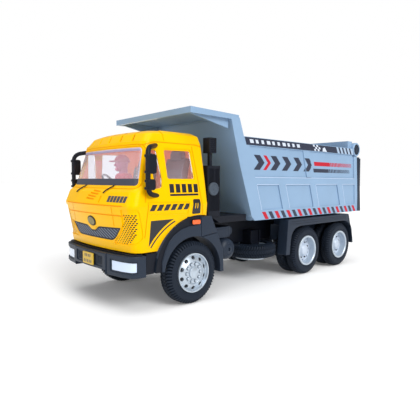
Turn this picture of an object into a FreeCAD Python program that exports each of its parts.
"""Toy tipper truck: a three-axle tipper with a hinged bed and a hanging tailgate, in moulded plastic.

Millimetres. The pieces are modelled round the middle of the front axle: x to the truck's left, y rearwards
from the front axle, z up from the axles. save() then moves each one so that the origin is on the ground
under the middle of the truck. Each piece is written to parts/ as one STEP file.
"""
import FreeCAD, Part
import math
import os
from FreeCAD import Vector

# ---- wheels and axles
TYRE_R = 16.5            # tyre radius: the axles stand this high
FRONT_TYRE_W = 9.0       # also the spare's
TWIN_TYRE_W = 7.6        # each tyre of a rear pair
TWIN_GAP = 1.4           # between the two tyres of a pair
RIM_R = 10.4             # where tyre and rim meet
TYRE_SHOULDER = 1.8      # rounding of a tyre's outer corners
AXLE_R = 1.5
RUNNING_FIT = 0.08       # clearance round a turning rod or pin
WHEELBASE = 105.0        # front axle to the first rear axle
TANDEM = 43.0            # between the two rear axles
HUB_R = 3.2              # boss in the middle of each rim

# ---- widths: half the truck's, at each piece
BODY_X = 36.5            # cab at its widest, and bed
FENDER_X = BODY_X + 1.0  # outer face of the fenders
BUMPER_X = BODY_X - 0.2
FRONT_WHEEL_X = FENDER_X + 0.1
REAR_WHEEL_X = FENDER_X - 0.6
MIRROR_X = BODY_X + 2.5  # middle of the mirror rods
TAIL_BAR_X = BODY_X - 6.5
PLATFORM_X = BODY_X - 2.5
REACH = 2 * BODY_X       # cutters run past both sides by this much

# ---- fenders
ARCH_GAP = 2.6           # between front tyre and arch
FENDER_BAND = 9.3        # width of the front fender's face above the arch
FENDER_Y = 4.5           # middle of its outer curve
FENDER_Z = 1.5
FENDER_DEPTH = 10.5
FENDER_FIT = 0.2         # between the fender and the cab
MUDGUARD_T = 2.7         # the mudguard behind the front wheel, at its foot
REAR_ARCH_GAP = 1.5      # between rear tyres and their cover
REAR_FENDER_T = 5.0      # the cover's thickness over the wheels

# ---- chassis
BED_GAP = 1.3            # between rear fender and bed
SUBFRAME_T = 1.6         # plate under the bed
DECK_GAP = 0.7           # between that plate and the chassis
RAIL_Z = 7.5             # underside of the chassis rails, above the axles
RAIL_X = 13.0            # outer face of its rails
RAIL_W = 2.2             # wall of a rail
DECK_T = 2.0             # wall of its deck
HANGER_LEN = 9.0         # length of the cheeks that hold an axle
HANGER_DROP = 4.0        # their reach below the axle

# ---- cab
CAB_WALL = 1.4
GLASS_INSET = 0.4        # the glass lies this far inside the paint
CAB_BOTTOM_Z = 13.5
CAB_REAR_Y = 11.0
SCREEN_BOTTOM_Z = 45.5
SCREEN_TOP_Z = 64.1

# ---- tipping bed
BED_TOP_Z = 73.8         # top of its sides
BED_WALL = 2.0
BED_FLOOR = 2.4
BED_FRONT_Y = 46.0       # foot of the front wall
BED_TAIL_Y = 27.7        # the bed's lower rear corner, behind the last axle
BED_TAIL_LEAN = 4.0      # how far its rear edge leans forward to the top
CANOPY_Z = 82.8          # underside of the canopy at the front wall
CANOPY_REACH = 29.8      # how far it reaches forward of the front wall's top
CANOPY_T = 1.3
TAILGATE_T = 4.0
TAILGATE_FIT = 0.3       # between the bed's rear edge and the tailgate
TIP_DROP = 4.0           # the bed's hinge, below the top of the chassis
TIP_BEHIND = 19.0        # the bed's hinge, behind the last axle
PIN_R = 1.2
GATE_PIVOT_IN = 4.7      # the tailgate's hinge, forward of the bed's lower rear corner
GATE_PIVOT_Z = 73.3
GATE_CAP_R = 5.4         # round cap over that hinge

# ---- places worked out from those
FENDER_R = TYRE_R + ARCH_GAP + FENDER_BAND
CAB_REAR_Z = FENDER_Z + FENDER_R - 0.4     # underside of the cab over the wheel and behind it
MUDGUARD_Y = TYRE_R + ARCH_GAP + MUDGUARD_T
MUDGUARD_TOP_Z = CAB_REAR_Z - FENDER_FIT
MUDGUARD_TOP_Y = FENDER_Y + math.sqrt(FENDER_R ** 2 - (MUDGUARD_TOP_Z - FENDER_Z) ** 2) + 2.0
REAR_FENDER_TOP_Z = TYRE_R + REAR_ARCH_GAP + REAR_FENDER_T
BED_Z = REAR_FENDER_TOP_Z + BED_GAP        # underside of the bed
DECK_Z = BED_Z - SUBFRAME_T - DECK_GAP     # top of the chassis
TIP_Z = DECK_Z - TIP_DROP
MID_Y = WHEELBASE
LAST_Y = WHEELBASE + TANDEM
TAIL_Y = LAST_Y + BED_TAIL_Y
TIP_Y = LAST_Y + TIP_BEHIND
GATE_Y = TAIL_Y - GATE_PIVOT_IN
NOSE_Y = -42.0           # front of the number plate
REAR_Y = TAIL_Y + TAILGATE_FIT + TAILGATE_T
ORIGIN_Y = (NOSE_Y + REAR_Y) / 2


# ---- shapes

def box(x0, x1, y0, y1, z0, z1):
    return Part.makeBox(x1 - x0, y1 - y0, z1 - z0, Vector(x0, y0, z0))


def rod_x(radius, x0, x1, y, z):
    return Part.makeCylinder(radius, x1 - x0, Vector(x0, y, z), Vector(1, 0, 0))


def rod_y(radius, y0, y1, x, z):
    return Part.makeCylinder(radius, y1 - y0, Vector(x, y0, z), Vector(0, 1, 0))


def rod_z(radius, z0, z1, x, y):
    return Part.makeCylinder(radius, z1 - z0, Vector(x, y, z0), Vector(0, 0, 1))


def outline(corners, place):
    """Closed wire through corners (a, b) or (a, b, radius); place turns (a, b) into a point in space."""
    edges = []
    starts = []
    count = len(corners)
    for i, corner in enumerate(corners):
        a, b = corner[:2]
        radius = corner[2] if len(corner) > 2 else 0.0
        here = Vector(a, b, 0)
        before = (Vector(*corners[i - 1][:2], 0) - here).normalize()
        after = (Vector(*corners[(i + 1) % count][:2], 0) - here).normalize()
        if radius <= 0:
            starts.append((here, None, here))
            continue
        half = before.getAngle(after) / 2
        cut = radius / math.tan(half)
        middle = here + (before + after).normalize() * (radius / math.sin(half) - radius)
        starts.append((here + before * cut, middle, here + after * cut))
    for i, (start, middle, end) in enumerate(starts):
        if middle is not None:
            edges.append(Part.Arc(place(start), place(middle), place(end)).toShape())
        nxt = starts[(i + 1) % count][0]
        if (nxt - end).Length > 1e-6:
            edges.append(Part.LineSegment(place(end), place(nxt)).toShape())
    return Part.Wire(edges)


def rect(a0, a1, b0, b1, radius=0.0):
    """Corners of a rectangle, all with one radius."""
    return [(a0, b0, radius), (a1, b0, radius), (a1, b1, radius), (a0, b1, radius)]


def slab_x(corners, x0, x1):
    """Outline in (y, z), from x0 to x1."""
    face = Part.Face(outline(corners, lambda p: Vector(x0, p.x, p.y)))
    return face.extrude(Vector(x1 - x0, 0, 0))


def slab_y(corners, y0, y1):
    """Outline in (x, z), from y0 to y1."""
    face = Part.Face(outline(corners, lambda p: Vector(p.x, y0, p.y)))
    return face.extrude(Vector(0, y1 - y0, 0))


def slab_z(corners, z0, z1):
    """Outline in (x, y), from z0 to z1."""
    face = Part.Face(outline(corners, lambda p: Vector(p.x, p.y, z0)))
    return face.extrude(Vector(0, 0, z1 - z0))


def turned_x(corners, y=0.0, z=0.0):
    """Outline in (x, radius), turned round an axis along x through (y, z)."""
    face = Part.Face(outline(corners, lambda p: Vector(p.x, 0, p.y)))
    ring = face.revolve(Vector(0, 0, 0), Vector(1, 0, 0), 360)
    ring.translate(Vector(0, y, z))
    return ring


def mirrored(shape):
    """The same piece on the truck's other side."""
    return shape.mirror(Vector(0, 0, 0), Vector(1, 0, 0))


def both_sides(shape):
    return [shape, mirrored(shape)]


def fuse(shapes):
    whole = shapes[0]
    for shape in shapes[1:]:
        whole = whole.fuse(shape)
    return whole.removeSplitter()


def save(name, *solids):
    """Writes solids that don't touch, or one solid, as parts/NAME.step, in the truck's own frame."""
    found = [solid for shape in solids for solid in shape.Solids]
    shape = found[0] if len(found) == 1 else Part.makeCompound(found)
    shape = shape.copy()
    shape.translate(Vector(0, -ORIGIN_Y, TYRE_R))
    shape.exportStep(os.path.join("parts", name + ".step"))
    print(name, len(found), "solids", round(sum(s.Volume for s in found) / 1000, 2), "cm3")


# ---- wheels

def tyre(x_out, width):
    """A tyre whose outer face is at x_out, on an axis along x."""
    x_in = x_out - width
    return turned_x([
        (x_in, RIM_R), (x_out, RIM_R), (x_out, TYRE_R, TYRE_SHOULDER), (x_in, TYRE_R, TYRE_SHOULDER)])


def drilled(rim, count, circle_r, hole_r, x0, x1):
    """Round holes through the rim's disc, evenly on a circle."""
    for i in range(count):
        angle = 2 * math.pi * i / count
        rim = rim.cut(rod_x(hole_r, x0, x1, circle_r * math.cos(angle), circle_r * math.sin(angle)))
    return rim


RIM_T = 1.0              # wall of a rim's barrel
DISC_T = 1.6             # wall of a rim's disc
FRONT_DISC_IN = 1.0      # the front rim's disc lies this far inside its lip
REAR_DISC_IN = 7.0       # the rear rim's disc lies this deep in its dish
REAR_HUB_OUT = 4.4       # the rear hub stands this far out of the disc


def front_rim(x_out, width):
    """Nearly flat disc with ten holes, close behind the lip."""
    x_in = x_out - width
    disc_x = x_out - FRONT_DISC_IN
    inner_r = RIM_R - RIM_T
    rim = turned_x([
        (x_in, RIM_R), (x_out, RIM_R), (x_out, inner_r), (disc_x, inner_r), (disc_x, HUB_R),
        (x_out, HUB_R - 0.6), (x_out, AXLE_R), (disc_x - DISC_T, AXLE_R), (disc_x - DISC_T, inner_r),
        (x_in, inner_r)])
    return drilled(rim, 10, 7.0, 1.0, disc_x - 2 * DISC_T, x_out + 1)


def twin_rims(x_out):
    """The rims of a rear pair, joined through their discs: a deep dish with a hub in its middle."""
    x_in = x_out - 2 * TWIN_TYRE_W - TWIN_GAP
    disc_x = x_out - REAR_DISC_IN
    inner_r = RIM_R - RIM_T
    rim = turned_x([
        (x_in, RIM_R), (x_out, RIM_R), (x_out, inner_r), (disc_x, inner_r), (disc_x, HUB_R + 1.2),
        (disc_x + REAR_HUB_OUT, HUB_R), (disc_x + REAR_HUB_OUT, AXLE_R), (disc_x - DISC_T, AXLE_R),
        (disc_x - DISC_T, inner_r), (x_in, inner_r)])
    return drilled(rim, 8, 6.8, 0.8, disc_x - 2 * DISC_T, x_out + 1)


def axle_rod(x_end, y):
    return rod_x(AXLE_R, -x_end, x_end, y, 0)


def moved(shapes, y):
    out = []
    for shape in shapes:
        shape = shape.copy()
        shape.translate(Vector(0, y, 0))
        out.append(shape)
    return out


def wheels():
    """Front wheels on their axle, and twin wheels on the two rear axles."""
    save("front_axle_rod", axle_rod(FRONT_WHEEL_X, 0))
    save("front_tyres", *both_sides(tyre(FRONT_WHEEL_X - 0.2, FRONT_TYRE_W)))
    save("front_rims", *both_sides(front_rim(FRONT_WHEEL_X, FRONT_TYRE_W)))
    hub_end = REAR_WHEEL_X - REAR_DISC_IN + REAR_HUB_OUT
    outer = tyre(REAR_WHEEL_X - 0.2, TWIN_TYRE_W)
    inner = tyre(REAR_WHEEL_X - 0.2 - TWIN_TYRE_W - TWIN_GAP, TWIN_TYRE_W)
    for name, y in (("mid", MID_Y), ("rear", LAST_Y)):
        save(name + "_axle_rod", axle_rod(hub_end, y))
        save(name + "_tyres", *moved(both_sides(outer) + both_sides(inner), y))
        save(name + "_rims", *moved(both_sides(twin_rims(REAR_WHEEL_X)), y))


# ---- chassis

BUMPER_BACK_Y = -33.0
DECK_END_Y = TIP_Y - 5.0      # the deck stops short of the bed's hinge
TAIL_BAR_Y = LAST_Y + TYRE_R + 2.5
HINGE_EAR_X = (7.5, 10.8)     # inner and outer face of the chassis' hinge ears
HINGE_EAR_R = 3.2
SUBFRAME_LUG_GAP = 0.5


def chassis():
    """Deck on two rails, with cheeks down to the axles and ears for the bed's hinge."""
    deck = box(-RAIL_X, RAIL_X, BUMPER_BACK_Y, DECK_END_Y, DECK_Z - DECK_T, DECK_Z)
    rail = slab_x([
        (BUMPER_BACK_Y, RAIL_Z), (DECK_END_Y, RAIL_Z), (DECK_END_Y, DECK_Z), (BUMPER_BACK_Y, DECK_Z)],
        RAIL_X - RAIL_W, RAIL_X)
    pieces = [rail]
    for y in (0, MID_Y, LAST_Y):
        half = HANGER_LEN / 2
        pieces.append(slab_x([
            (y - half - 2, RAIL_Z), (y - half, -HANGER_DROP, 2), (y + half, -HANGER_DROP, 2),
            (y + half + 2, RAIL_Z), (y + half + 2, RAIL_Z + 1), (y - half - 2, RAIL_Z + 1)],
            RAIL_X - RAIL_W, RAIL_X))
    pieces.append(box(RAIL_X - RAIL_W, RAIL_X, DECK_END_Y - 3, TAIL_BAR_Y, RAIL_Z - 3.5, RAIL_Z + 3))
    ear_in, ear_out = HINGE_EAR_X
    pieces.append(slab_x([
        (DECK_END_Y - 3, DECK_Z - DECK_T), (DECK_END_Y - 3, RAIL_Z + 3), (TIP_Y, TIP_Z - HINGE_EAR_R),
        (TIP_Y, TIP_Z + HINGE_EAR_R)], ear_in, ear_out))
    pieces.append(rod_x(HINGE_EAR_R, ear_in, ear_out, TIP_Y, TIP_Z))
    pieces.append(box(ear_in, RAIL_X, DECK_END_Y - 3, DECK_END_Y, RAIL_Z + 3, DECK_Z))
    frame = fuse([deck] + pieces + [mirrored(p) for p in pieces])
    for y in (0, MID_Y, LAST_Y):
        frame = frame.cut(rod_x(AXLE_R + RUNNING_FIT, -RAIL_X - 1, RAIL_X + 1, y, 0))
    for y in (BUMPER_BACK_Y, 45.0, MID_Y + TANDEM / 2, DECK_END_Y - 2):
        frame = frame.fuse(box(-RAIL_X + 1, RAIL_X - 1, y, y + 2, RAIL_Z, DECK_Z - 1))
    frame = frame.removeSplitter()
    pin_end = ear_out + SUBFRAME_LUG_GAP + 3.4
    frame = frame.cut(rod_x(PIN_R, -pin_end, pin_end, TIP_Y, TIP_Z))
    save("chassis_frame", frame)
    save("bed_hinge_pin", rod_x(PIN_R, -pin_end, pin_end, TIP_Y, TIP_Z))


def tail_bar():
    """Bar across the tail with a lamp cluster at each end."""
    z0, z1 = RAIL_Z - 4.0, RAIL_Z + 1.8
    y0, y1 = TAIL_BAR_Y, TAIL_BAR_Y + 2.2
    bar = [(-TAIL_BAR_X, y0), (TAIL_BAR_X, y0), (TAIL_BAR_X, y1, 1), (-TAIL_BAR_X, y1, 1)]
    save("tail_bar", slab_z(bar, z0, z1))
    lamps = []
    for i in range(3):
        x1 = TAIL_BAR_X - 1.9 - 4.4 * i
        x0 = x1 - 3.8
        lamps += both_sides(slab_y(rect(x0, x1, z0 + 1, z1 - 1, 0.5), y1, y1 + 0.8))
    save("tail_lamps", *lamps)


# ---- cab

FRONT_BOW = 2.2          # how much the cab's front bows across its width
# height above the axles, half width, front, corner radius, rear
CAB_SECTIONS = [
    (CAB_BOTTOM_Z, BODY_X - 1.9, -36.4, 5.0, CAB_REAR_Y),
    (22.0, BODY_X - 1.1, -37.6, 5.0, CAB_REAR_Y),
    (31.0, BODY_X - 0.5, -39.2, 5.0, CAB_REAR_Y),
    (35.9, BODY_X, -40.0, 5.0, CAB_REAR_Y),
    (37.8, BODY_X - 0.5, -39.4, 5.0, CAB_REAR_Y),
    (42.5, BODY_X - 1.2, -37.8, 5.0, CAB_REAR_Y),
    (SCREEN_BOTTOM_Z - 0.6, BODY_X - 1.6, -34.8, 5.0, CAB_REAR_Y),
    (SCREEN_TOP_Z + 0.8, BODY_X - 5.2, -29.4, 4.5, CAB_REAR_Y),
    (67.4, BODY_X - 5.8, -28.8, 4.5, CAB_REAR_Y),
    (71.8, BODY_X - 7.6, -25.6, 4.5, CAB_REAR_Y - 0.5),
    (73.4, BODY_X - 10.5, -21.8, 4.5, CAB_REAR_Y - 3.0),
]
REAR_CORNER = 2.0


def cab_section(z, half_width, front, corner, rear):
    """The cab's outline seen from above, at one height."""
    side = half_width - corner
    nose_end = front + FRONT_BOW
    diag = corner * math.sqrt(0.5)
    back = half_width - REAR_CORNER
    rear_diag = REAR_CORNER * math.sqrt(0.5)

    def at(x, y):
        return Vector(x, y, z)

    def right(arc):
        return [at(-p.x, p.y) for p in reversed(arc)]

    nose = [at(-side, nose_end), at(0, front), at(side, nose_end)]
    turn = [at(side, nose_end), at(side + diag, nose_end + corner - diag), at(half_width, nose_end + corner)]
    turn_y = rear - REAR_CORNER
    heel = [at(half_width, turn_y), at(back + rear_diag, turn_y + rear_diag), at(back, rear)]
    arcs = [nose, turn, heel, right(heel), right(turn)]
    edges = [Part.Arc(*arcs[0]).toShape(), Part.Arc(*arcs[1]).toShape()]
    edges.append(Part.LineSegment(turn[2], heel[0]).toShape())
    edges.append(Part.Arc(*arcs[2]).toShape())
    edges.append(Part.LineSegment(heel[2], at(-back, rear)).toShape())
    edges.append(Part.Arc(*arcs[3]).toShape())
    edges.append(Part.LineSegment(at(-half_width, turn_y), at(-half_width, nose_end + corner)).toShape())
    edges.append(Part.Arc(*arcs[4]).toShape())
    return Part.Wire(edges)


def cab_body(inset, open_below=0.0):
    """The cab's whole outer form, each wall moved in by inset."""
    sections = []
    for i, (z, half_width, front, corner, rear) in enumerate(CAB_SECTIONS):
        if i == 0:
            z -= open_below
        if i == len(CAB_SECTIONS) - 1:
            z -= inset
        sections.append(cab_section(z, half_width - inset, front + inset, corner - inset / 2, rear - inset))
    return Part.makeLoft(sections, True, True)


# x, z, corner radius of the windscreen's opening
SCREEN_HOLE = [(4.1 - BODY_X, SCREEN_BOTTOM_Z, 2.5), (BODY_X - 4.1, SCREEN_BOTTOM_Z, 2.5),
               (BODY_X - 7.2, SCREEN_TOP_Z, 2.5), (7.2 - BODY_X, SCREEN_TOP_Z, 2.5)]
# y, z, corner radius of the side openings: the door's window and the small one ahead of it
DOOR_HOLE = [(-15.2, 49.0, 1.5), (1.6, 49.0, 1.5), (-0.9, 63.4, 1.5), (-16.4, 63.0, 1.5)]
QUARTER_HOLE = [(-22.8, 44.0, 0.6), (-18.9, 44.6, 0.6), (-18.3, 49.0, 0.6), (-20.0, 62.8, 0.6),
                (-24.2, 62.8, 0.6)]
# x, z, corner radius of the grille's opening
GRILLE_HOLE = [(-25.5, 25.2, 0.8), (-17.0, 18.2, 1.5), (17.0, 18.2, 1.5), (25.5, 25.2, 0.8),
               (6.0, 24.6, 1.5), (2.0, 22.4, 1.0), (-2.0, 22.4, 1.0), (-6.0, 24.6, 1.5)]
BADGE_Z = 26.9
BADGE_R = 2.6


def cab():
    """The hollow cab with its openings cut, and the panes and grille that fill them."""
    outer = cab_body(0)
    inner = cab_body(CAB_WALL, open_below=1.0)
    shell = outer.cut(inner)
    screen = slab_y(SCREEN_HOLE, -45, -15)
    door = slab_x(DOOR_HOLE, -REACH, REACH)
    quarter = slab_x(QUARTER_HOLE, -REACH, REACH)
    grille = slab_y(GRILLE_HOLE, -45, -20)
    wheel_cut = rod_x(FENDER_R + FENDER_FIT, -REACH, REACH, FENDER_Y, FENDER_Z)
    rear_cut = box(-REACH, REACH, FENDER_Y - 8, CAB_REAR_Y + 5, CAB_BOTTOM_Z - 5, CAB_REAR_Z)
    for hole in (screen, door, quarter, grille, wheel_cut, rear_cut):
        shell = shell.cut(hole)
    save("cab_shell", shell)

    pane = cab_body(GLASS_INSET).cut(inner)
    save("windscreen", pane.common(screen))
    save("side_windows", pane.common(door), pane.common(quarter))
    save("grille", pane.common(grille))
    badge_y = CAB_SECTIONS[2][2] + 0.7
    badge = rod_y(BADGE_R, badge_y - 1.6, badge_y + 1.6, 0, BADGE_Z).cut(outer)
    save("badge_disc", badge)


FLOOR_T = 1.5
INTERIOR_FIT = 0.15      # between the moulded interior and the cab's walls
DASH_TOP_Z = 48.6
DASH_LOW_Z = CAB_REAR_Z + 1
# y, z, corner radius of the dash from the side
DASH = [(-40, DASH_LOW_Z), (-24.5, DASH_LOW_Z), (-23.0, 44.0, 1), (-26.0, DASH_TOP_Z, 1), (-40, DASH_TOP_Z)]
DRIVER_X = -15.0
SEAT_X = 15.0
SEAT_W = 17.0


def interior():
    """Moulded floor, dash and seats, a steering wheel and the toy's own driver figure."""
    inner = cab_body(CAB_WALL + INTERIOR_FIT, open_below=1.0)
    floor = box(-REACH, REACH, -40, 20, CAB_REAR_Z, CAB_REAR_Z + FLOOR_T).common(inner)
    dash = slab_x(DASH, -REACH, REACH).common(inner)
    tunnel = box(-RAIL_X, RAIL_X, -30, 9, DECK_Z, CAB_REAR_Z + 0.5)
    pieces = [floor, dash, tunnel]
    for x in (-SEAT_X, SEAT_X):
        pieces.append(slab_x([
            (-9, CAB_REAR_Z + 1), (4, CAB_REAR_Z + 1), (7.5, 54, 1), (9, 60, 1.2), (6, 60.5, 1.2),
            (3.0, 54, 1), (1.0, 38.5, 2), (-9, 39.0, 2)], x - SEAT_W / 2, x + SEAT_W / 2))
    save("cab_interior", fuse(pieces))

    column = Part.makeCylinder(0.8, 7.2, Vector(DRIVER_X, -25.2, 43.2), Vector(0, 0.8, 0.6))
    hoop = Part.makeTorus(4.6, 0.6, Vector(0, 0, 0), Vector(0, 0, 1))
    hoop = hoop.fuse(box(-4.6, 4.6, -0.6, 0.6, -0.4, 0.4)).fuse(rod_z(1.2, -0.5, 0.5, 0, 0))
    hoop.rotate(Vector(0, 0, 0), Vector(1, 0, 0), -53)
    hoop.translate(Vector(DRIVER_X, -19.6, 47.4))
    column = column.cut(slab_x(DASH, -REACH, REACH))
    save("steering_wheel", column.fuse(hoop).removeSplitter())

    torso = Part.makeLoft([
        outline([(DRIVER_X - w, y0, 2), (DRIVER_X + w, y0, 2), (DRIVER_X + w, y1, 2), (DRIVER_X - w, y1, 2)],
                lambda p, z=z: Vector(p.x, p.y, z))
        for z, w, y0, y1 in ((39.2, 5.0, -12.0, -3.0), (46.0, 5.4, -13.5, -5.0), (51.6, 5.6, -14.0, -7.0),
                             (53.4, 2.4, -13.4, -8.4))], True, True)
    head = Part.makeSphere(3.9, Vector(DRIVER_X, -11.2, 57.2))
    cap = Part.makeSphere(4.2, Vector(DRIVER_X, -11.0, 58.0)).common(box(-30, 0, -30, 0, 58.2, 70))
    peak = slab_z([(DRIVER_X - 3.4, -12, 1), (DRIVER_X + 3.4, -12, 1), (DRIVER_X + 2.8, -18.4, 2.2),
                   (DRIVER_X - 2.8, -18.4, 2.2)], 58.2, 59.0)
    save("driver_figure", fuse([torso, head, cap, peak]))


# ---- bumper and front fittings

BUMPER_TOP_Z = 12.2
BUMPER_LOW_Z = 1.7       # under its ends
BUMPER_MID_Z = 3.8       # under its middle
BUMPER_Y = -40.5
BUMPER_END_Y = -28.6     # where its ends stop on the cab's sides
LAMP_X = (BUMPER_X - 15.6, BUMPER_X - 0.9)     # headlamp, inner and outer end
LAMP_Z = (4.6, 9.2)
PLATE_W = 12.4
PLATE_H = 6.0
PLATE_Z = 7.7            # its middle
PLATE_T = 0.9


def bumper():
    """Bar that bends back at the corners, with a stepped middle that holds the number plate."""
    def bar(grow):
        x = BUMPER_X + grow
        front = [(16.0, BUMPER_Y + 0.4), (17.2, BUMPER_Y + 1.2), (BUMPER_X - 8.3, BUMPER_Y + 2.5 - grow),
                 (x, BUMPER_Y + 4.7 - grow, 3.6), (x, BUMPER_END_Y), (BUMPER_X - 4.7, BUMPER_END_Y),
                 (BUMPER_X - 6.1, BUMPER_BACK_Y)]
        return [(-a, b, *r) for a, b, *r in reversed(front)] + [(0, BUMPER_Y)] + front

    ends = slab_z(bar(0), BUMPER_LOW_Z, BUMPER_TOP_Z)
    ends = ends.cut(box(-16.4, 16.4, -45, -25, BUMPER_LOW_Z - 1, BUMPER_MID_Z))
    recess = slab_y(rect(-14.5, 14.5, 5.0, 10.9, 0.8), BUMPER_Y - 1, BUMPER_Y + 0.9)
    ends = ends.cut(recess)
    lamp_hole = slab_y([(LAMP_X[0], LAMP_Z[0], 0.6), (LAMP_X[1], LAMP_Z[0], 1.4), (LAMP_X[1], LAMP_Z[1], 0.6),
                        (LAMP_X[0], LAMP_Z[1], 0.6)], -45, -33.6)
    body = ends
    for hole in both_sides(lamp_hole):
        body = body.cut(hole)
    save("bumper", body)
    save("headlamps", *both_sides(slab_z(bar(-0.4), BUMPER_LOW_Z, BUMPER_TOP_Z).common(lamp_hole)))
    half = PLATE_W / 2
    low, high = PLATE_Z - PLATE_H / 2, PLATE_Z + PLATE_H / 2
    plate = slab_y(rect(-half, half, low, high, 0.5), NOSE_Y, NOSE_Y + PLATE_T)
    foot = box(1.5 - half, half - 1.5, NOSE_Y + PLATE_T, BUMPER_Y + 0.9, PLATE_Z - 1.5, PLATE_Z + 1.5)
    save("number_plate", fuse([plate, foot]))


MIRROR_Y = -29.7
MIRROR_ROD_R = 1.1


def mirrors():
    """On each side an upright rod on two arms, with a tall head and a small one under it."""
    top = Vector(MIRROR_X, MIRROR_Y, 65.2)
    low = Vector(MIRROR_X, MIRROR_Y, 40.8)
    top_foot = Vector(BODY_X - 7.1, -18.6, 65.4)
    low_foot = Vector(BODY_X - 2.9, -20.5, 40.6)

    def rod(a, b):
        return Part.makeCylinder(MIRROR_ROD_R, (b - a).Length, a, b - a)

    pieces = [rod(low, top), rod(top, top_foot), rod(low, low_foot)]
    pieces += [Part.makeSphere(MIRROR_ROD_R, p) for p in (top, low)]
    # lower edge, upper edge, front, rear of each head
    for z0, z1, y0, y1 in ((51.1, 60.3, -31.9, -25.6), (43.6, 48.8, -31.6, -26.4)):
        pieces.append(slab_x(rect(y0, y1, z0, z1, 1.2), MIRROR_X - 0.9, MIRROR_X + 1.4))
    arm = fuse(pieces).cut(cab_body(0))
    arm = max(arm.Solids, key=lambda s: s.Volume)
    save("mirror_left", arm)
    save("mirror_right", mirrored(arm))


def front_fenders():
    """Arch round each front wheel with its mudguard, the panel ahead of it and its marker lamp."""
    arch_r = TYRE_R + ARCH_GAP
    top = MUDGUARD_TOP_Z
    inner_x = FENDER_X - FENDER_DEPTH
    curve = rod_x(FENDER_R, inner_x, FENDER_X, FENDER_Y, FENDER_Z)
    curve = curve.common(box(inner_x, FENDER_X, -40, FENDER_Y, 3.1, top))
    end = MUDGUARD_Y
    rear = slab_x([
        (FENDER_Y - 0.5, 2.0), (FENDER_Y - 0.5, top), (MUDGUARD_TOP_Y, top), (end - 4.8, top - 10.1),
        (end - 0.5, 10.2), (end, -2.2), (end - 4.8, -2.2)], inner_x, FENDER_X)
    fender = fuse([curve, rear]).cut(rod_x(arch_r, inner_x - 1, FENDER_X + 1, 0, 0))
    fender = max(fender.Solids, key=lambda s: s.Volume)
    save("front_fender_left", fender)
    save("front_fender_right", mirrored(fender))
    step = box(inner_x + 1, FENDER_X - 1.9, BUMPER_END_Y, FENDER_Y - 10, 2.9, CAB_BOTTOM_Z - 0.6)
    step = step.cut(rod_x(FENDER_R + FENDER_FIT, 0, FENDER_X + 1, FENDER_Y, FENDER_Z))
    step = min(step.Solids, key=lambda s: s.CenterOfMass.y)
    save("step_panels", *both_sides(step))
    lamp = slab_x(rect(-1.5, 3.9, top - 3.8, top - 1.5, 0.8), FENDER_X, FENDER_X + 0.6)
    save("marker_lamps", *both_sides(lamp))


REAR_FENDER_IN_X = REAR_WHEEL_X - 17.1   # inner edge of its top
REAR_FLAP_IN_X = FENDER_X - 7.5          # inner edge of its two flaps
REAR_FLAP_Y = MID_Y - TYRE_R - 9.3       # front edge of the first flap
REAR_FLAP_T = 1.8
FLAP_GAP = 1.2           # between the last tyre and the flap behind it


def rear_fenders():
    """One long cover over both rear wheels on each side, down to a flap at each end."""
    rear = LAST_Y
    top = REAR_FENDER_TOP_Z
    under = top - REAR_FENDER_T
    arch = TYRE_R + FLAP_GAP
    flap_end = rear + arch + REAR_FLAP_T
    start = REAR_FLAP_Y
    cover = slab_x([(start, -0.3), (start + 2.0, top), (flap_end - 7.6, top), (flap_end, -0.4),
                    (rear + arch, -0.4), (rear + arch, under, arch - 0.4), (start + 5.3, under, 13.0),
                    (start + 4.2, -0.3)], REAR_FLAP_IN_X, FENDER_X)
    cover = fuse([cover, box(REAR_FENDER_IN_X, REAR_FLAP_IN_X, MID_Y - TYRE_R, rear + 7.0, under, top)])
    save("rear_fender_left", cover)
    save("rear_fender_right", mirrored(cover))
    middle = rear - TANDEM / 2
    bridge = box(RAIL_X, REAR_FENDER_IN_X, middle - 4, middle + 4, under + 0.5, under + 3.5)
    save("fender_brackets", *both_sides(bridge))


# ---- behind the cab and along the chassis

PLATFORM_Z = DECK_Z + 2.5     # underside of the platform between cab and bed
PLATFORM_T = 3.9
PLATFORM_Y = (CAB_REAR_Y + 2.0, BED_FRONT_Y - 2.0)
CLEANER_TOP_Z = 56.3
CLEANER_Y = (MUDGUARD_TOP_Y + 0.1, MUDGUARD_TOP_Y + 9.6)
INTAKE_H = 8.3
STEM_H = 6.9                  # between the cleaner and the intake
BATTERY_Z = (DECK_Z - 7.0, DECK_Z - 0.6)
BATTERY_Y = (MUDGUARD_Y - 2.1, MUDGUARD_Y + 14.6)
BATTERY_X = FENDER_X - 7.5    # its outer face
AIR_TANK_X = FENDER_X - 3.3   # end of the air tank
AIR_TANK_R = 6.0
AIR_TANK_Y = MUDGUARD_Y + AIR_TANK_R + 1.7
AIR_TANK_Z = BATTERY_Z[0] - AIR_TANK_R - 0.3
FUEL_TANK_X = BODY_X - 5.5    # outer face of the fuel tank


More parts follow.
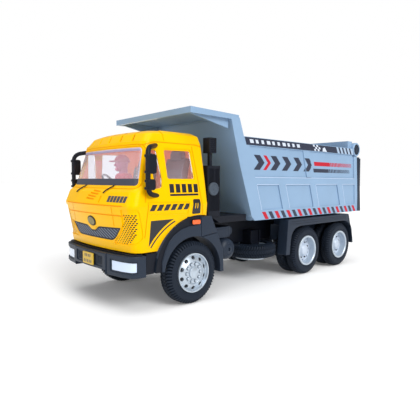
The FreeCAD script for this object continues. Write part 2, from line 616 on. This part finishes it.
def side_gear():
    """Platform behind the cab with the air intake, and the boxes and tanks on the rails."""
    arch = rod_x(FENDER_R + FENDER_FIT, -REACH, REACH, FENDER_Y, FENDER_Z)
    y0, y1 = PLATFORM_Y
    top = PLATFORM_Z + PLATFORM_T
    plate = box(-PLATFORM_X, PLATFORM_X, y0, y1, PLATFORM_Z, top).cut(arch)
    plate = plate.fuse(box(-RAIL_X, RAIL_X, y0, y1, DECK_Z, top))
    save("rear_platform", plate.removeSplitter())
    x0, x1 = PLATFORM_X - 7.5, PLATFORM_X + 0.4
    y0, y1 = CLEANER_Y
    cleaner = slab_z(rect(x0, x1, y0, y1, 1), top, CLEANER_TOP_Z).cut(arch)
    save("air_cleaner", fuse([cleaner, rod_x(2.5, x1, x1 + 0.8, y0 + 3.8, 43.7)]))
    intake_z = CLEANER_TOP_Z + STEM_H
    stem = box(x1 - 3.4, x1 - 1.4, y0 + 2.4, y0 + 4.4, CLEANER_TOP_Z, intake_z)
    intake = slab_z(rect(x1 - 5.9, x1 - 0.1, y0 + 1.2, y0 + 6.6, 0.6), intake_z, intake_z + INTAKE_H)
    save("air_intake", fuse([stem, intake]))
    z0, z1 = BATTERY_Z
    y0, y1 = BATTERY_Y
    battery = slab_z([(RAIL_X, y0), (BATTERY_X, y0, 1), (BATTERY_X, y1 - 4.6), (BATTERY_X - 1.8, y1 - 4.6),
                      (BATTERY_X - 1.8, y1, 1), (RAIL_X, y1)], z0, z1)
    save("battery_box", fuse([battery, rod_x(2.6, RAIL_X, BATTERY_X - 3.5, y1 + 0.8, (z0 + z1) / 2)]))
    r = AIR_TANK_R
    end = AIR_TANK_X
    save("air_tank", turned_x([(RAIL_X, 0), (end, 0), (end, r - 3.5), (end - 1.0, r - 1.0), (end - 2.6, r),
                               (RAIL_X, r)], AIR_TANK_Y, AIR_TANK_Z))
    save("fuel_tank", slab_x(rect(26, 56, 4.0, 20.5, 3), -FUEL_TANK_X, -RAIL_X))


SPARE_X = TYRE_R - 0.1                # it lies across the left rail, its edge on the truck's middle
SPARE_GAP = 1.4                       # between the spare and the rear fender's flap
SPARE_DEPTH = math.sqrt(max(0.0, TYRE_R ** 2 - (REAR_FLAP_IN_X - SPARE_X) ** 2))
SPARE_Y = min(MID_Y - 2 * TYRE_R - 3.6, REAR_FLAP_Y - SPARE_DEPTH - SPARE_GAP)
SPARE_DROP = 0.4                      # between the rail and the spare
CHANNEL_X = 20.2                      # outer edge of the channel it hangs from


def spare_wheel():
    """Spare lying flat under the left rail, hung on a stud from a channel on the rail."""
    tyre_part = tyre(FRONT_TYRE_W / 2 - 0.2, FRONT_TYRE_W)
    rim_part = front_rim(FRONT_TYRE_W / 2, FRONT_TYRE_W)
    top = RAIL_Z - SPARE_DROP
    laid = []
    for shape in (tyre_part, rim_part):
        shape = shape.copy()
        shape.rotate(Vector(0, 0, 0), Vector(0, 1, 0), 90)
        shape.translate(Vector(SPARE_X, SPARE_Y, top - FRONT_TYRE_W / 2))
        laid.append(shape)
    save("spare_tyre", laid[0])
    save("spare_rim", laid[1])
    disc_z = top - FRONT_TYRE_W + FRONT_DISC_IN + DISC_T
    plate = box(SPARE_X - 6, SPARE_X + 4, SPARE_Y - 4, SPARE_Y + 4, RAIL_Z - 2.0, RAIL_Z)
    stud = rod_z(2.4, disc_z, RAIL_Z - 1, SPARE_X, SPARE_Y)
    y0, y1 = SPARE_Y - 4.4, SPARE_Y + 5.4
    web, flange = CHANNEL_X - 1.2, CHANNEL_X
    channel = slab_z([
        (RAIL_X, y0), (flange, y0), (flange, y0 + 1), (web, y0 + 1), (web, y1 - 1), (flange, y1 - 1),
        (flange, y1), (RAIL_X, y1)], RAIL_Z, RAIL_Z + 7.8)
    save("spare_carrier", fuse([plate, stud, channel]))


# ---- tipping bed

POST_TOP_Y = BED_FRONT_Y - 18.1
POST_KNEE_Y = BED_FRONT_Y - 10.7
POST_KNEE_Z = 57.2
PANEL_DEPTH = 0.7
BAND_Z = 68.7            # underside of the raised band along the top
RIB_Z = (45.7, 50.5)     # raised rib along the side
SKIRT_Z = 30.3           # top of the raised skirt along the bottom
REAR_POST = 5.0


def tail_y(z):
    """The bed's rear edge at height z."""
    return TAIL_Y - BED_TAIL_LEAN * (z - BED_Z) / (GATE_PIVOT_Z - 5.9 - BED_Z)


def bed_side():
    """The left side wall, flat inside, with raised band, rib, skirt and posts outside."""
    wall = slab_x([
        (BED_FRONT_Y + 3.0, BED_Z), (tail_y(BED_Z), BED_Z), (tail_y(BED_TOP_Z), BED_TOP_Z),
        (BED_FRONT_Y - 7.6, BED_TOP_Z), (POST_TOP_Y + 6.8, CANOPY_Z + 1.2), (POST_TOP_Y, CANOPY_Z + 1.2),
        (POST_TOP_Y, CANOPY_Z), (POST_KNEE_Y, POST_KNEE_Z), (BED_FRONT_Y, BED_Z + 2.7, 2.0)],
        BODY_X - BED_WALL, BODY_X)
    face_x = BODY_X - PANEL_DEPTH
    # rows of sunk fields: lower edge, upper edge, then front and rear at each of those edges
    upper = (RIB_Z[1], BAND_Z, (48.8, 43.2), (tail_y(RIB_Z[1]) - REAR_POST, tail_y(BAND_Z) - REAR_POST))
    run = TAIL_Y - BED_FRONT_Y
    # share of the bed's length at the lower edge where each lower field starts and ends
    fields = [upper]
    for start, end in ((0.073, 0.235), (0.293, 0.507), (0.561, 0.785), (0.843, 0.961)):
        y0 = BED_FRONT_Y + run * start
        y1 = BED_FRONT_Y + run * end
        lean = 5.0
        fields.append((SKIRT_Z, RIB_Z[0], (y0, y0 - lean), (y1, y1 - lean if end < 0.9 else y1 - 1.4)))
    for z0, z1, (front0, front1), (rear0, rear1) in fields:
        wall = wall.cut(slab_x([(front0, z0), (rear0, z0), (rear1, z1), (front1, z1)], face_x, BODY_X + 1))
    return wall


def bed():
    """Bed of floor, sides and leaning front wall, with the canopy that reaches over the cab."""
    side = bed_side()
    inner_x = BODY_X - BED_WALL
    top = BED_Z + BED_FLOOR
    floor = slab_x([(BED_FRONT_Y + 1.0, BED_Z), (tail_y(BED_Z), BED_Z), (tail_y(top), top),
                    (BED_FRONT_Y + 1.0, top)], -inner_x, inner_x)
    front = slab_x([
        (BED_FRONT_Y + 3.0, BED_Z), (BED_FRONT_Y + 4.0, BED_Z + 1.0), (BED_FRONT_Y + 2.2, BED_Z + 2.9),
        (POST_KNEE_Y + BED_WALL, POST_KNEE_Z), (POST_TOP_Y + BED_WALL, CANOPY_Z), (POST_TOP_Y, CANOPY_Z),
        (POST_KNEE_Y, POST_KNEE_Z), (BED_FRONT_Y, BED_Z + 2.7)], -inner_x, inner_x)
    beam = box(-inner_x, inner_x, GATE_Y - 10.5, GATE_Y - 3.9, GATE_PIVOT_Z - 1.0, GATE_PIVOT_Z + 6.2)
    corner = box(-REACH, REACH, GATE_Y - GATE_CAP_R, GATE_Y + 10, GATE_PIVOT_Z - 5.6, BED_TOP_Z + 5)
    tub = fuse([side, mirrored(side), floor, front])
    tub = tub.cut(corner).fuse(beam).removeSplitter()
    save("bed_tub", tub)

    top0 = CANOPY_Z + 1.2
    nose_y = POST_TOP_Y - CANOPY_REACH
    rise = 2.0
    roof = slab_x([(nose_y, top0 + rise), (POST_TOP_Y + 6.2, top0 + CANOPY_T), (POST_TOP_Y + 6.2, top0),
                   (POST_TOP_Y, top0), (nose_y, top0 + rise - CANOPY_T)], -BODY_X, BODY_X)
    front_rim = box(-BODY_X, BODY_X, nose_y, nose_y + 1.3, CANOPY_Z, top0 + rise - 0.5)
    side_rim = slab_x([(nose_y, CANOPY_Z), (POST_TOP_Y, CANOPY_Z - 0.2), (POST_TOP_Y, top0 + 0.5),
                       (nose_y, top0 + rise - 0.5)], BODY_X - 1.3, BODY_X)
    gusset = slab_x([(nose_y + 1, CANOPY_Z + 0.4), (POST_TOP_Y, CANOPY_Z - 5.2), (POST_TOP_Y, top0 + 0.3),
                     (nose_y + 1, top0 + rise - 0.6)], BODY_X - 3.6, BODY_X - 2.4)
    save("bed_canopy", fuse([roof, front_rim, side_rim, mirrored(side_rim), gusset, mirrored(gusset)]))


SUBFRAME_X = REAR_FENDER_IN_X - 0.8


def subframe():
    """Plate under the bed with the two lugs that turn on the hinge pin."""
    z0 = BED_Z - SUBFRAME_T
    lug_in = HINGE_EAR_X[1] + SUBFRAME_LUG_GAP
    lug_out = lug_in + 3.0
    plate = box(-SUBFRAME_X, SUBFRAME_X, BED_FRONT_Y + 3.5, TIP_Y + 5, z0, BED_Z)
    lug = slab_x([(TIP_Y - HINGE_EAR_R, z0 + 0.5), (TIP_Y - HINGE_EAR_R, TIP_Z), (TIP_Y + HINGE_EAR_R, TIP_Z),
                  (TIP_Y + HINGE_EAR_R, z0 + 0.5)], lug_in, lug_out)
    eye = rod_x(HINGE_EAR_R, lug_in, lug_out, TIP_Y, TIP_Z)
    bore = rod_x(PIN_R + RUNNING_FIT, -lug_out - 1, lug_out + 1, TIP_Y, TIP_Z)
    save("bed_subframe", fuse([plate, lug, eye, mirrored(lug), mirrored(eye)]).cut(bore))


EAR_W = 3.0
EAR_R = 3.4


def tailgate():
    """Panel that hangs from two ears at its top, the round caps over them and their pins."""
    inner_x = BODY_X - BED_WALL
    fit = TAILGATE_FIT
    top_z = GATE_PIVOT_Z - 5.9
    panel = slab_x([
        (tail_y(BED_Z) + fit, BED_Z), (tail_y(BED_Z) + fit + TAILGATE_T, BED_Z),
        (tail_y(top_z) + fit + TAILGATE_T, top_z), (tail_y(top_z) + fit, top_z)], -BODY_X, BODY_X)
    # fields sunk into its rear face: left and right edge, lower and upper edge
    mid_z = (BED_Z + top_z) / 2
    side = BODY_X - 4.0
    for x0, x1 in ((-side, -12.0), (-10.0, 10.0), (12.0, side)):
        for z0, z1 in ((BED_Z + 4, mid_z - 1.5), (mid_z + 1.5, top_z - 4)):
            y0 = fit + TAILGATE_T - 1.2
            low_y, high_y = tail_y(z0) + y0, tail_y(z1) + y0
            panel = panel.cut(slab_x([(low_y, z0), (low_y + 5, z0), (high_y + 5, z1), (high_y, z1)], x0, x1))
    ear_out = inner_x - 0.3
    ear_in = ear_out - EAR_W
    ear = slab_x([(GATE_Y - EAR_R + 0.6, GATE_PIVOT_Z - 1), (tail_y(top_z) + fit + 0.1, top_z - 3),
                  (tail_y(top_z) + fit + TAILGATE_T, top_z - 3), (tail_y(top_z) + fit + TAILGATE_T, top_z),
                  (GATE_Y + EAR_R, GATE_PIVOT_Z)], ear_in, ear_out)
    eye = rod_x(EAR_R, ear_in, ear_out, GATE_Y, GATE_PIVOT_Z)
    bore = rod_x(PIN_R + RUNNING_FIT, -inner_x, inner_x, GATE_Y, GATE_PIVOT_Z)
    save("tailgate_panel", fuse([panel, ear, eye, mirrored(ear), mirrored(eye)]).cut(bore))
    cap = fuse([rod_x(GATE_CAP_R, inner_x, BODY_X + 0.3, GATE_Y, GATE_PIVOT_Z),
                box(inner_x, BODY_X + 0.3, GATE_Y - GATE_CAP_R, GATE_Y, GATE_PIVOT_Z - GATE_CAP_R,
                    GATE_PIVOT_Z + 1)])
    pin = rod_x(PIN_R, ear_in - 0.6, inner_x + 0.5, GATE_Y, GATE_PIVOT_Z)
    save("tailgate_hinges", *both_sides(fuse([cap, pin])))


def main():
    os.makedirs("parts", exist_ok=True)
    wheels()
    chassis()
    tail_bar()
    cab()
    interior()
    bumper()
    mirrors()
    front_fenders()
    rear_fenders()
    side_gear()
    spare_wheel()
    bed()
    subframe()
    tailgate()


main()
